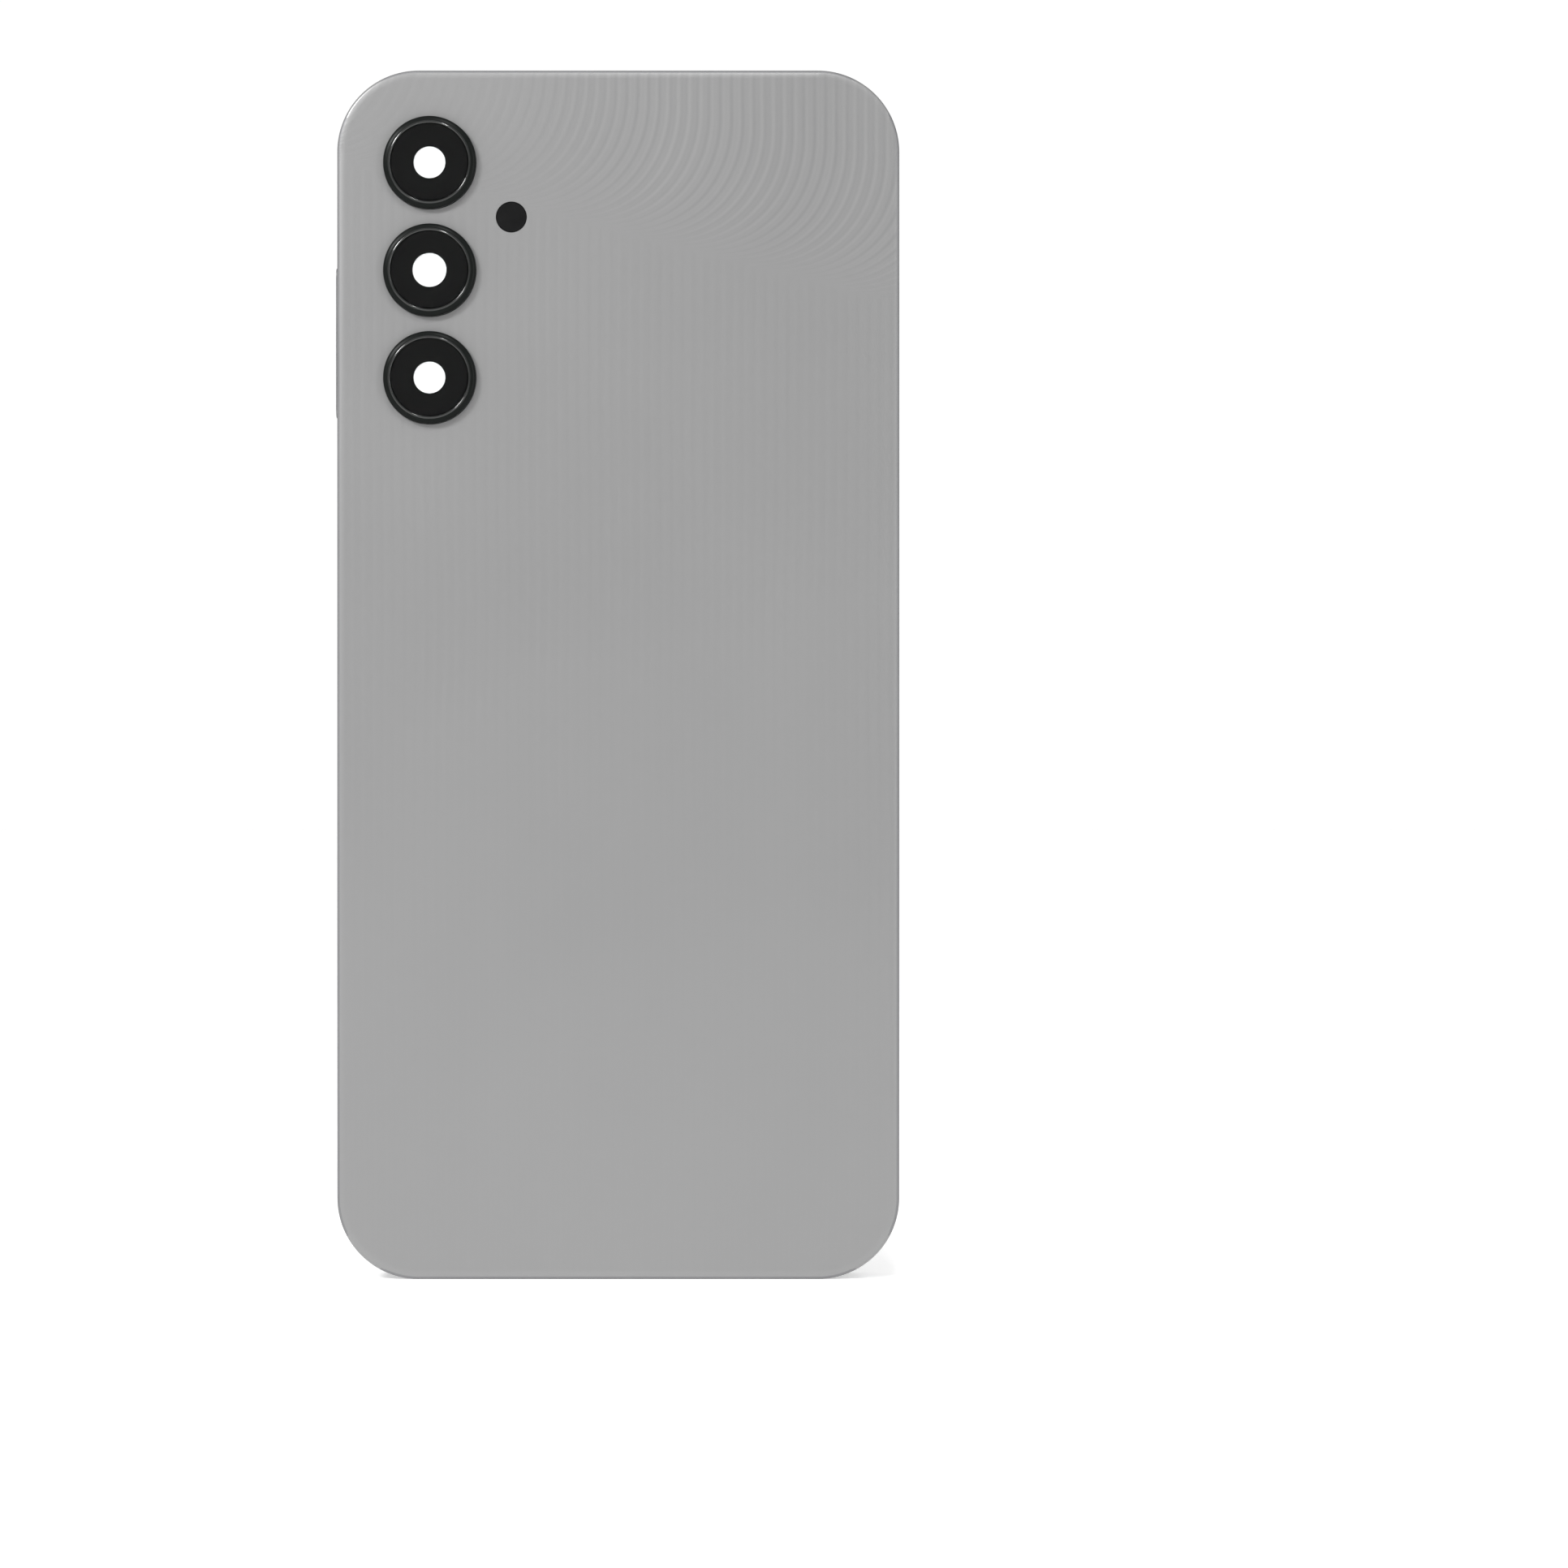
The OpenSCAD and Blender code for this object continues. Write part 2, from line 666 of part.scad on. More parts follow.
// Strip with three nubs behind the key; the middle nub is the one it rocks on
module key_carriage() {
    strip_h = key_h;
    web_h = 4;
    color([0.08, 0.08, 0.08]) difference() {
        union() {
            block(
                [carriage_x, key_y - strip_h / 2, volume_z - carriage_len / 2],
                [carriage_x + carriage_t, key_y + strip_h / 2, volume_z + carriage_len / 2]
            );
            for (side = [-1, 1]) {
                z = volume_z + side * nub_pitch;
                block([carriage_x, key_y - 0.8, z - 0.7], [carriage_x + carriage_t + 0.45, key_y + 0.8, z + 0.7]);
            }
            block(
                [carriage_x, key_y - 0.9, volume_z - nub_r],
                [pivot_x, key_y + 0.9, volume_z + nub_r]
            );
            rod_y(pivot_x, volume_z, nub_r, key_y - 0.9, key_y + 0.9);
        }
        // Waist either side of the middle
        for (side = [-1, 1]) block(
            [carriage_x + carriage_t - 0.25, key_y - 2, volume_z + side * web_h / 2 - (side < 0 ? 0.5 : 0)],
            [carriage_x + carriage_t + 1, key_y + 2, volume_z + side * web_h / 2 + (side > 0 ? 0.5 : 0)]
        );
    }
}

module key_pins() {
    head_y = key_y + key_h / 2 + 0.1;
    color([0.85, 0.85, 0.86]) for (z = pin_z) {
        rod_y(pin_x, z, pin_r, floor_y, head_y);
        rod_y(pin_x, z, pin_head_r, head_y, head_y + 0.25);
    }
}

// ---- Dust meshes ----

module speaker_mesh() {
    run = (speaker_holes - 1) * speaker_pitch;
    color([0.2, 0.2, 0.2]) translate([speaker_x[0] + run / 2, port_y, wall_t]) linear_extrude(mesh_t)
        slot_area(run + speaker_hole_d + 0.5, speaker_hole_d + 0.9);
}

module microphone_mesh() {
    color([0.2, 0.2, 0.2]) translate([mic_x, port_y, wall_t]) cylinder(d = mic_d + 0.9, h = mesh_t);
}

rear_shell();
camera_bracket();
camera_ring(0);  // camera_ring_upper
camera_ring(1);  // camera_ring_middle
camera_ring(2);  // camera_ring_lower
camera_glass(0);  // camera_glass_upper
camera_glass(1);  // camera_glass_middle
camera_glass(2);  // camera_glass_lower
glass_seal(0);  // glass_seal_upper
glass_seal(1);  // glass_seal_middle
glass_seal(2);  // glass_seal_lower
lens_film(0);  // lens_film_upper
lens_film(1);  // lens_film_middle
lens_film(2);  // lens_film_lower
bracket_tape();
flash_window();
flash_lens();
flash_tape();
side_tape();
volume_key();
key_carriage();
key_pins();
speaker_mesh();
microphone_mesh();
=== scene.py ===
import math

import bmesh
import bpy
from mathutils import Matrix, Vector


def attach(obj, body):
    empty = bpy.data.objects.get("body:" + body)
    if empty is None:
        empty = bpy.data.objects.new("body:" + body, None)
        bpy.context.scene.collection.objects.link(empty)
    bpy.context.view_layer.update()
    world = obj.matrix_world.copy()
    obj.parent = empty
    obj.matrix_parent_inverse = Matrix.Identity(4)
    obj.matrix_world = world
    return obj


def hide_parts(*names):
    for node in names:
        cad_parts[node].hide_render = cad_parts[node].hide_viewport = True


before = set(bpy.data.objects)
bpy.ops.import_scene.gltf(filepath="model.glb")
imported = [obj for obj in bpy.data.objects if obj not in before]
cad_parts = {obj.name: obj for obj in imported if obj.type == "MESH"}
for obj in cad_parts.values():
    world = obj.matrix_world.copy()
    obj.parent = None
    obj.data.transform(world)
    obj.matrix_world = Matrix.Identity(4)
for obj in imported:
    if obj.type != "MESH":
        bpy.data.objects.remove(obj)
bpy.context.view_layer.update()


# ---- Rear shell ----
# Back panel and side frame of the phone, injection moulded in one piece from a tough plastic.
# The outside is sprayed with satin silver lacquer over fine curved lines that are cut in the mould;
# the inside is left as a thin grey metallised coat. Everything else is fitted to this piece.

class Value:
    """A number that changes over a surface, for the sums that make up a finish."""

    def __init__(self, finish, socket):
        self.finish, self.socket = finish, socket

    def maths(self, operation, a, b=0.0):
        made = self.finish.node("ShaderNodeMath", {"operation": operation}, {0: a, 1: b})
        return Value(self.finish, made.outputs[0])

    def __add__(self, other):
        return self.maths("ADD", self, other)

    __radd__ = __add__

    def __sub__(self, other):
        return self.maths("SUBTRACT", self, other)

    def __rsub__(self, other):
        return self.maths("SUBTRACT", other, self)

    def __mul__(self, other):
        return self.maths("MULTIPLY", self, other)

    __rmul__ = __mul__


class Finish:
    """One surface finish: its shader's plain values, and the nodes that vary over the surface."""

    def __init__(self, name, **plain):
        self.material = bpy.data.materials.new(name)
        self.material.use_nodes = True
        self.tree = self.material.node_tree
        self.shader = self.tree.nodes["Principled BSDF"]
        for socket, value in plain.items():
            self.shader.inputs[socket.replace("_", " ")].default_value = value

    def node(self, kind, settings=None, inputs=None):
        made = self.tree.nodes.new(kind)
        for key, value in (settings or {}).items():
            if key == "stops":
                for at, _ in value[2:]:
                    made.color_ramp.elements.new(at)
                for element, (at, colour) in zip(made.color_ramp.elements, sorted(value)):
                    element.position, element.color = at, (*colour, 1)
            else:
                setattr(made, key, value)
        for key, value in (inputs or {}).items():
            self.feed(made.inputs[key], value)
        return made

    def feed(self, socket, value):
        if isinstance(value, Value):
            self.tree.links.new(value.socket, socket)
        elif isinstance(value, bpy.types.NodeSocket):
            self.tree.links.new(value, socket)
        else:
            socket.default_value = value

    def place(self, stretch=(1, 1, 1), centre=(0, 0, 0)):
        """Where a point of the piece is, in metres, from a centre and stretched along each axis."""
        where = self.node("ShaderNodeTexCoord").outputs["Object"]
        moved = self.node("ShaderNodeVectorMath", {"operation": "SUBTRACT"}, {0: where, 1: centre})
        scaled = self.node(
            "ShaderNodeVectorMath", {"operation": "MULTIPLY"}, {0: moved.outputs[0], 1: stretch}
        )
        return scaled.outputs[0]

    def along(self, where):
        """The X, Y and Z of a place, each as a value."""
        parts = self.node("ShaderNodeSeparateXYZ", {}, {0: where})
        return [Value(self, parts.outputs[i]) for i in range(3)]

    def mottle(self, where, scale, detail=2.0, rough=0.5):
        made = self.node(
            "ShaderNodeTexNoise", {}, {"Vector": where, "Scale": scale, "Detail": detail, "Roughness": rough}
        )
        return Value(self, made.outputs["Fac"])

    def ramp(self, value, *stops):
        """A value carried through a grey ramp of (place, level) stops."""
        shades = [(at, (level, level, level)) for at, level in stops]
        made = self.node("ShaderNodeValToRGB", {"stops": shades}, {0: value})
        return Value(self, made.outputs["Color"])

    def between(self, amount, low, high):
        """A colour between two colours."""
        made = self.node("ShaderNodeMix", {"data_type": "RGBA"}, {0: amount, 6: (*low, 1), 7: (*high, 1)})
        return made.outputs[2]

    def bump(self, height, depth, strength=1.0):
        made = self.node("ShaderNodeBump", {}, {"Height": height, "Distance": depth, "Strength": strength})
        self.feed(self.shader.inputs["Normal"], made.outputs[0])

    def set(self, **varied):
        for socket, value in varied.items():
            self.feed(self.shader.inputs[socket.replace("_", " ")], value)
        return self.material


def block(bm, low, high):
    """A block from its low corner to its high corner, in millimetres."""
    low, high = Vector(low), Vector(high)
    place = Matrix.Translation((low + high) / 2) @ Matrix.Diagonal((*(high - low), 1))
    return bmesh.ops.create_cube(bm, size=1, matrix=place)["verts"]


def rod(bm, x, z, radius, y0, y1, steps=96):
    """A round rod through the thickness of the phone."""
    place = Matrix.Translation((x, (y0 + y1) / 2, z)) @ Matrix.Rotation(math.radians(90), 4, "X")
    bmesh.ops.create_cone(
        bm, cap_ends=True, segments=steps, radius1=radius, radius2=radius, depth=y1 - y0, matrix=place
    )


def upright_rod(bm, x, y, radius, z0, z1, steps=32):
    """A round rod along the height of the phone."""
    place = Matrix.Translation((x, y, (z0 + z1) / 2))
    bmesh.ops.create_cone(
        bm, cap_ends=True, segments=steps, radius1=radius, radius2=radius, depth=z1 - z0, matrix=place
    )


def edges_along(bm, verts, axis):
    """The edges among some vertices that run along an axis, 0 to 2."""
    chosen = set(verts)
    return [
        e for e in bm.edges
        if e.verts[0] in chosen and e.verts[1] in chosen
        and abs(abs((e.verts[1].co - e.verts[0].co).normalized()[axis]) - 1) < 1e-4
    ]


def bevel(bm, edges, width, segments):
    return bmesh.ops.bevel(
        bm, geom=edges, offset=width, offset_type="OFFSET", affect="EDGES", segments=segments, profile=0.5,
        material=-1, clamp_overlap=True,
    )


def facing(bm, direction):
    """The largest face that looks in a direction."""
    return max((f for f in bm.faces if f.normal.dot(Vector(direction)) > 0.99), key=lambda f: f.calc_area())


def as_mesh(bm, name):
    """The finished mesh, in metres."""
    bmesh.ops.scale(bm, vec=(0.001, 0.001, 0.001), verts=bm.verts)
    mesh = bpy.data.meshes.new(name)
    bm.to_mesh(mesh)
    bm.free()
    return mesh


def fit(mesh, name, body, nodes, materials, soften=0.0, crisp=35):
    """Puts a finished piece in place: smooth curves, crisp edges with a small round on them, its finish
    and the body that it moves with. Edges that turn by more degrees than crisp stay sharp."""
    piece = bpy.data.objects.new(name, mesh)
    bpy.context.scene.collection.objects.link(piece)
    for material in materials:
        mesh.materials.append(material)
    mesh.shade_smooth()
    mesh.set_sharp_from_angle(angle=math.radians(crisp))
    if soften:
        edge = piece.modifiers.new("edge round", "BEVEL")
        edge.width, edge.segments, edge.limit_method = soften / 1000, 2, "ANGLE"
        edge.angle_limit, edge.harden_normals = math.radians(crisp), False
    flat = piece.modifiers.new("flat faces", "WEIGHTED_NORMAL")
    flat.keep_sharp = True
    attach(piece, body)
    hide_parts(*nodes)
    return piece


side, wall, height, corner = 39.0, 1.6, 167.7, 11.3
back, floor, rim = -4.2, -3.3, 4.2
hollow_side = side - wall
rim_slope_width, rim_slope_depth = 0.5, 0.9
floor_fillet, back_round = 1.5, 0.5
crown, crown_width = 0.18, 0.8

bm = bmesh.new()
body_verts = block(bm, (-side, back + crown, 0), (side, rim - rim_slope_depth, height))
bevel(bm, edges_along(bm, body_verts, 1), corner, 32)
open_face = facing(bm, (0, 1, 0))
bmesh.ops.inset_region(
    bm, faces=[open_face], thickness=rim_slope_width, depth=rim_slope_depth, use_even_offset=True
)
bmesh.ops.inset_region(
    bm, faces=[open_face], thickness=wall - rim_slope_width, depth=0.0, use_even_offset=True
)
inner = bmesh.ops.extrude_discrete_faces(bm, faces=[open_face])["faces"][0]
bmesh.ops.translate(bm, verts=inner.verts, vec=(0, floor - rim, 0))
bevel(bm, list(inner.edges), floor_fillet, 8)
bevel(bm, list(facing(bm, (0, -1, 0)).edges), back_round, 8)
bmesh.ops.inset_region(
    bm, faces=[facing(bm, (0, -1, 0))], thickness=crown_width, depth=crown, use_even_offset=True
)
bmesh.ops.recalc_face_normals(bm, faces=bm.faces)
moulding = as_mesh(bm, "moulding")

# Clip pockets, ribs, hooks, locating steps, bosses and the lugs beside each catch
adds = bmesh.new()
root = floor - 0.3
into_wall = -hollow_side - 0.3
pockets = [(80.4, 4.6), (64.8, 5.2), (49.2, 4.6), (33.6, 6.7)]
for z, length in pockets:
    block(adds, (into_wall, root, z - length / 2), (-33.5, floor + 0.7, z + length / 2))
    for end in (-1, 1):
        edge = z + end * (length - 0.45) / 2
        block(adds, (into_wall, root, edge - 0.225), (-33.0, floor + 2, edge + 0.225))
for z in (103.6, 101.5, 96.2, 94.1):
    block(adds, (into_wall, root, z - 0.175), (-35.0, floor + 1.8, z + 0.175))
for z in (57.0, 41.4):
    block(adds, (into_wall, root, z - 0.175), (-36.1, floor + 1.8, z + 0.175))
    block(adds, (-36.3, root, z - 1.6), (-35.85, floor + 1.8, z + 1.6))
for z, up_or_down in ((108.2, -1), (85.7, 1)):
    foot = z - up_or_down * 1.05
    block(adds, (-36.7, root, z - 1.05), (-36.25, floor + 2, z + 1.05))
    block(adds, (into_wall, root, foot - 0.25), (-36.3, floor + 2, foot + 0.25))
block(adds, (-36.3, root, 26.6), (-35.85, floor + 1.8, 28.3))
block(adds, (into_wall, root, 26.25), (-35.85, floor + 1.8, 26.65))
floor_steps = bmesh.new()
step_top, step_root = floor + 0.12, floor - 0.1
block(floor_steps, (-31.9, step_root, 61.1), (-21.2, step_top, 83.6))
block(floor_steps, (-31.9, step_root, 83.55), (-27.2, step_top, 87.9))
for low, high in (
    ((-32, 14.9), (-20.9, 15.25)), ((-32, 24.95), (-20.9, 25.3)),
    ((-32, 15.25), (-31.65, 24.95)), ((-21.25, 15.25), (-20.9, 24.95)),
):
    block(floor_steps, (low[0], step_root, low[1]), (high[0], step_top, high[1]))
for x, z, reach, rise in ((2.5, 12.4, -4.4, 3.7), (-2.4, 13.7, -8.45, 7.1), (-13.9, 13.7, -5.8, 5.9)):
    block(floor_steps, (x - 0.35, step_root, z), (x, step_top, z + rise))
    block(floor_steps, (x + reach, step_root, z), (x - 0.3, step_top, z + 0.35))
pin_x, pin_places = -35.617, (118.05, 142.35)
for z in pin_places:
    rod(adds, pin_x, z, 0.85, root, -1.05, 48)

# Holes for the cameras, flash, ports and keys, and the recess of each catch
cuts = bmesh.new()
camera_x, camera_places = -26.1, {"upper": 154.8, "middle": 139.9, "lower": 125.0}
flash_x, flash_z = -14.8, 147.3
for z in camera_places.values():
    rod(cuts, camera_x, z, 6.475, back - 1, back + 0.4, 128)
    rod(cuts, camera_x, z, 5.825, back + 0.2, floor + 1, 128)
rod(cuts, flash_x, flash_z, 2.155, back - 1, back + 0.55)
rod(cuts, flash_x, flash_z, 2.275, back + 0.5, floor + 1)
for z in pin_places:
    rod(cuts, pin_x, z, 0.3, floor, 0.3, 32)
for i in range(6):
    upright_rod(cuts, -24.95 + 1.75 * i, 0.3, 0.55, -1, wall + 1)
upright_rod(cuts, 10.7, 0.3, 0.5, -1, wall + 1)
port = block(cuts, (-4.6, -1.4, -1), (4.6, 2.0, wall + 1))
bevel(cuts, edges_along(cuts, port, 2), 1.699, 12)
key_y, key_half = 0.3, 1.2
for z, length in ((130.2, 21.26), (99.3, 14.0)):
    slot = block(
        cuts, (-side - 1, key_y - 1.32, z - length / 2), (-hollow_side + 0.5, key_y + 1.32, z + length / 2)
    )
    bevel(cuts, edges_along(cuts, slot, 0), 1.319, 12)


def at_catch(bm, spot, low, high):
    """A block beside a catch. The spot is (wall, place along it); the block's corners are given as
    (along the wall, through the thickness, out of the wall's inner face)."""
    wall_name, at = spot
    if wall_name == "top":
        ceiling = height - wall
        block(bm, (at + low[0], low[1], ceiling - high[2]), (at + high[0], high[1], ceiling - low[2]))
    elif wall_name == "bottom":
        block(bm, (at + low[0], low[1], wall + low[2]), (at + high[0], high[1], wall + high[2]))
    elif wall_name == "key side":
        key_wall = -hollow_side
        block(bm, (key_wall + low[2], low[1], at + low[0]), (key_wall + high[2], high[1], at + high[0]))
    else:
        far_wall = hollow_side
        block(bm, (far_wall - high[2], low[1], at + low[0]), (far_wall - low[2], high[1], at + high[0]))


catches = [("top", -26.9), ("top", -6.3), ("bottom", -27.6), ("bottom", -8.1), ("bottom", 6.7)]
for z in (80.4, 64.8, 49.2, 33.6, 15.4):
    catches += [("key side", z), ("far side", z)]
for spot in catches:
    at_catch(cuts, spot, (-1.3, rim - 2.1, -0.5), (1.3, rim - 1.1, 0.6))
    for end in (-1.8, 1.3):
        at_catch(adds, spot, (end, rim - 2.3, -0.2), (end + 0.5, rim - 0.2, 0.3))


def joined(moulding, adds, cuts):
    """The moulding with its added features joined on and its holes cut out."""
    stand_ins = []
    for mesh in (moulding, adds, cuts):
        stand_in = bpy.data.objects.new("blank", mesh)
        bpy.context.scene.collection.objects.link(stand_in)
        stand_ins.append(stand_in)
    for stand_in, operation in zip(stand_ins[1:], ("UNION", "DIFFERENCE")):
        step = stand_ins[0].modifiers.new(operation, "BOOLEAN")
        step.object, step.operation, step.solver, step.use_self = stand_in, operation, "EXACT", True
    made = bpy.data.meshes.new_from_object(stand_ins[0].evaluated_get(bpy.context.evaluated_depsgraph_get()))
    for stand_in in stand_ins:
        bpy.data.objects.remove(stand_in)
    return made


shell_mesh = joined(moulding, as_mesh(adds, "features"), as_mesh(cuts, "holes"))
bm = bmesh.new()
bm.from_mesh(shell_mesh)
bmesh.ops.remove_doubles(bm, verts=bm.verts, dist=2e-7)
bmesh.ops.dissolve_degenerate(bm, edges=bm.edges, dist=1e-7)
bm.from_mesh(as_mesh(floor_steps, "floor steps"))
bm.normal_update()

# Each face takes one of four finishes: 0 lacquer, 1 bare inner coat, 2 clean rim, 3 frame coat, darker in part
# as painted shade
for face in bm.faces:
    middle = face.calc_center_median() * 1000
    within_walls = abs(middle.x) < hollow_side + 0.1 and wall - 0.1 < middle.z < height - wall + 0.1
    if middle.y > rim - 0.01:
        face.material_index = 2
    # faces that turn sideways take the darker frame coat, which is partly painted shade along the outline
    elif not within_walls and abs(face.normal.y) < 0.97:
        face.material_index = 3
    elif within_walls and middle.y > floor - 0.2:
        face.material_index = 1
    else:
        face.material_index = 0
bm.to_mesh(shell_mesh)
bm.free()

# Satin silver lacquer on the back panel: faint clouding and fine curved lines, strongest high on the far side
lacquer = Finish("satin silver lacquer", Metallic=0.35, Coat_Weight=0.15, Coat_Roughness=0.35)
on_panel = lacquer.place()
across, _, up = lacquer.along(on_panel)
clouds = lacquer.mottle(on_panel, 28, 2)
soft_bands = lacquer.mottle(lacquer.place((1, 1, 0.35)), 16, 1)


def held(value, low, high):
    """A value kept between two limits."""
    return value.maths("MINIMUM", value.maths("MAXIMUM", value, low), high)


# Each line runs straight down from a sloping start near the top, then turns away into a quarter arc
arc_reach = 0.020
drop = (0.165 - across * 0.25 - up) * (1 / arc_reach)
bend = held(drop, 0.0, 0.995)
curve = 1.0 - bend.maths("POWER", 1.0 - bend * bend, 0.5)
run = across + curve * arc_reach + (clouds - 0.5) * 0.0012
arcs = run.maths("SINE", run * 3900) * 0.5
fine_arcs = run.maths("SINE", run * 8300) * 0.5
band = lacquer.ramp(drop * 0.25 + 0.5, (0.30, 0.25), (0.50, 1.0), (0.66, 0.9), (0.75, 0.0))
corner_share = band * lacquer.ramp(across * 10.0 + 0.5, (0.30, 0.0), (0.55, 1.0))
lines = arcs * (0.02 + corner_share * 0.34) + fine_arcs * (0.02 + corner_share * 0.22)
tone = 0.5 + (clouds - 0.5) * 0.3 + (soft_bands - 0.5) * 0.4 + lines
lacquer.bump(arcs * 0.5 + fine_arcs, 0.000012, 0.2)
outside = lacquer.set(
    Base_Color=lacquer.between(tone, (0.203, 0.203, 0.205), (0.255, 0.255, 0.254)),
    Roughness=0.36 + (clouds - 0.5) * 0.06 + arcs * 0.02,
)

# The side frame has a darker, duller coat. Its darker tone on the faces that turn away from the back is partly
# painted shade, for the dark line round the outline
frame_coat_with_painted_shade = Finish("silver frame coat with painted edge shade", Metallic=0.4, Specular_IOR_Level=0.3)
frame_flow = frame_coat_with_painted_shade.mottle(frame_coat_with_painted_shade.place((1, 0.2, 1)), 90, 2)
framed_painted_shade = frame_coat_with_painted_shade.set(
    Base_Color=frame_coat_with_painted_shade.between(frame_flow, (0.175, 0.175, 0.18), (0.21, 0.21, 0.215)),
    Roughness=0.5 + (frame_flow - 0.5) * 0.08,
)

# Bare inner coat: without lacquer, lighter in tone, with faint flow marks from the moulding
coat = Finish("bare inner coat", Metallic=0.25)
inner_clouds = coat.mottle(coat.place(), 40, 3)
inner_flow = coat.mottle(coat.place((1, 1, 0.25)), 60, 2)
inner_tone = inner_clouds * 0.6 + inner_flow * 0.4
coat.bump(coat.mottle(coat.place(), 2600, 2), 0.00001, 0.3)
inside = coat.set(
    Base_Color=coat.between(inner_tone, (0.34, 0.34, 0.345), (0.44, 0.44, 0.445)),
    Roughness=0.42 + (inner_flow - 0.5) * 0.1,
)

# The rim is machined clean, so it is the brightest face
trim = Finish("clean rim", Metallic=0.3)
trim_marks = trim.mottle(trim.place(), 300, 3)
trimmed = trim.set(
    Base_Color=trim.between(trim_marks, (0.74, 0.74, 0.75), (0.82, 0.82, 0.83)),
    Roughness=0.35 + (trim_marks - 0.5) * 0.1,
)
fit(
    shell_mesh, "rear_shell_moulding", "housing", ["rear_shell"],
    [outside, inside, trimmed, framed_painted_shade], crisp=30,
)


# ---- Camera rings ----
# Three gloss black trim rings, turned and polished, with a rounded outer edge. Each stands in a
# shallow seat in the back face and is glued there; its raised lip protects the glass.

def arc(x, y, radius, start, stop, steps=8):
    """Points round part of a circle, for a turned profile. The angles are in degrees."""
    turns = [math.radians(start + (stop - start) * i / steps) for i in range(steps + 1)]
    return [(x + radius * math.cos(a), y + radius * math.sin(a)) for a in turns]


def turned(profile, x, z, steps=128):
    """A turned piece: a profile of (radius, y) carried round an axis through the thickness of the phone."""
    bm = bmesh.new()
    points = [bm.verts.new((x + radius, y, z)) for radius, y in profile]
    pairs = list(zip(points, points[1:]))
    if profile[0][0] > 0:
        pairs.append((points[-1], points[0]))
    lines = [bm.edges.new(pair) for pair in pairs]
    bmesh.ops.spin(
        bm, geom=points + lines, cent=(x, 0, z), axis=(0, 1, 0), dvec=(0, 0, 0), angle=math.tau, steps=steps,
        use_merge=True, use_normal_flip=False, use_duplicate=False,
    )
    bmesh.ops.remove_doubles(bm, verts=bm.verts, dist=1e-4)
    bmesh.ops.recalc_face_normals(bm, faces=bm.faces)
    return as_mesh(bm, "turned")


ring_top, ring_radius, lip_inner = back - 1.15, 6.425, 5.405
black = Finish("satin black", Specular_IOR_Level=0.06)
dust = black.mottle(black.place(), 1100, 3)
satin_black = black.set(
    Base_Color=black.between(dust, (0.004, 0.005, 0.0045), (0.007, 0.008, 0.0075)),
    Roughness=0.3 + (dust - 0.5) * 0.08,
)
polish = Finish("polished black", Specular_IOR_Level=0.6)
hairlines = polish.mottle(polish.place((1, 0.2, 1)), 900, 3)
polished = polish.set(
    Base_Color=polish.between(hairlines, (0.007, 0.008, 0.0075), (0.012, 0.013, 0.0125)),
    Roughness=0.1 + (hairlines - 0.5) * 0.05,
)
shoulder = lip_inner + 0.2
ring_profile = (
    [(4.605, back - 0.31), (lip_inner, back - 0.31), (lip_inner, ring_top + 0.2)]
    + arc(shoulder, ring_top + 0.2, 0.2, 180, 270, 8)
    + arc(shoulder - 0.1, ring_top + 1.5, 1.5, -86, -62, 8)
    + arc(ring_radius - 0.3, ring_top + 0.48, 0.3, -50, 0, 6)
    + [(ring_radius, back + 0.4), (5.775, back + 0.4), (5.775, floor), (4.605, floor)]
)
for name, z in camera_places.items():
    ring = turned(ring_profile, camera_x, z)
    for face in ring.polygons:
        out = (Vector((face.center.x, 0, face.center.z)) * 1000 - Vector((camera_x, 0, z))).length
        face.material_index = 1 if out < 5.8 else 0
    fit(
        ring, f"trim_ring_{name}", "housing", [f"camera_ring_{name}"],
        [satin_black, polished], crisp=50,
    )


# ---- Cover glasses, seals and films ----
# A flat disc of clear hard glass lies in each ring on a black adhesive ring, which masks all but a round
# window.
# A white film is stuck behind the window to keep dust out until the camera is fitted. The film is given a
# painted glow, so the window shows as bright white, as if lit from behind.

glass_radius, film_radius = lip_inner - 0.07, 3.25
glass_face, seal_face, ledge_face = ring_top + 0.12, ring_top + 0.72, ring_top + 0.84
film_face = ledge_face + 0.1
windows = {"upper": 4.4, "middle": 4.7, "lower": 4.4}
clear = Finish("clear glass", Transmission_Weight=0.994, IOR=1.5, Base_Color=(0.96, 0.97, 0.97, 1))
wipe = clear.mottle(clear.place(), 220, 3)
clear_glass = clear.set(Roughness=0.015 + wipe * 0.02)
mask = Finish("black adhesive", Specular_IOR_Level=0.3)
mask_grain = mask.mottle(mask.place(), 1500, 2)
masked = mask.set(
    Base_Color=mask.between(mask_grain, (0.016, 0.020, 0.018), (0.020, 0.024, 0.022)),
    Roughness=0.5 + mask_grain * 0.2,
)
# The film's emission is painted light: the film glows though it is no lamp, so each window reads pure white
film_painted_glow = Finish("white film with painted glow", Roughness=0.6, Emission_Color=(1, 1, 1, 1), Emission_Strength=0.42)
fibres = film_painted_glow.mottle(film_painted_glow.place(), 1400, 3)
film_white_painted_glow = film_painted_glow.set(Base_Color=film_painted_glow.between(fibres, (0.93, 0.93, 0.93), (0.97, 0.97, 0.97)))
# The film's inner face is a darker grey copy of the white film. This is painted shade, for the shade seen
# through the holes from inside
film_backing_painted_shade = Finish("film backing in painted shade", Roughness=0.7)
backing_fibres = film_backing_painted_shade.mottle(film_backing_painted_shade.place(), 1400, 3)
film_back_painted_shade = film_backing_painted_shade.set(Base_Color=film_backing_painted_shade.between(backing_fibres, (0.62, 0.62, 0.62), (0.70, 0.70, 0.70)))
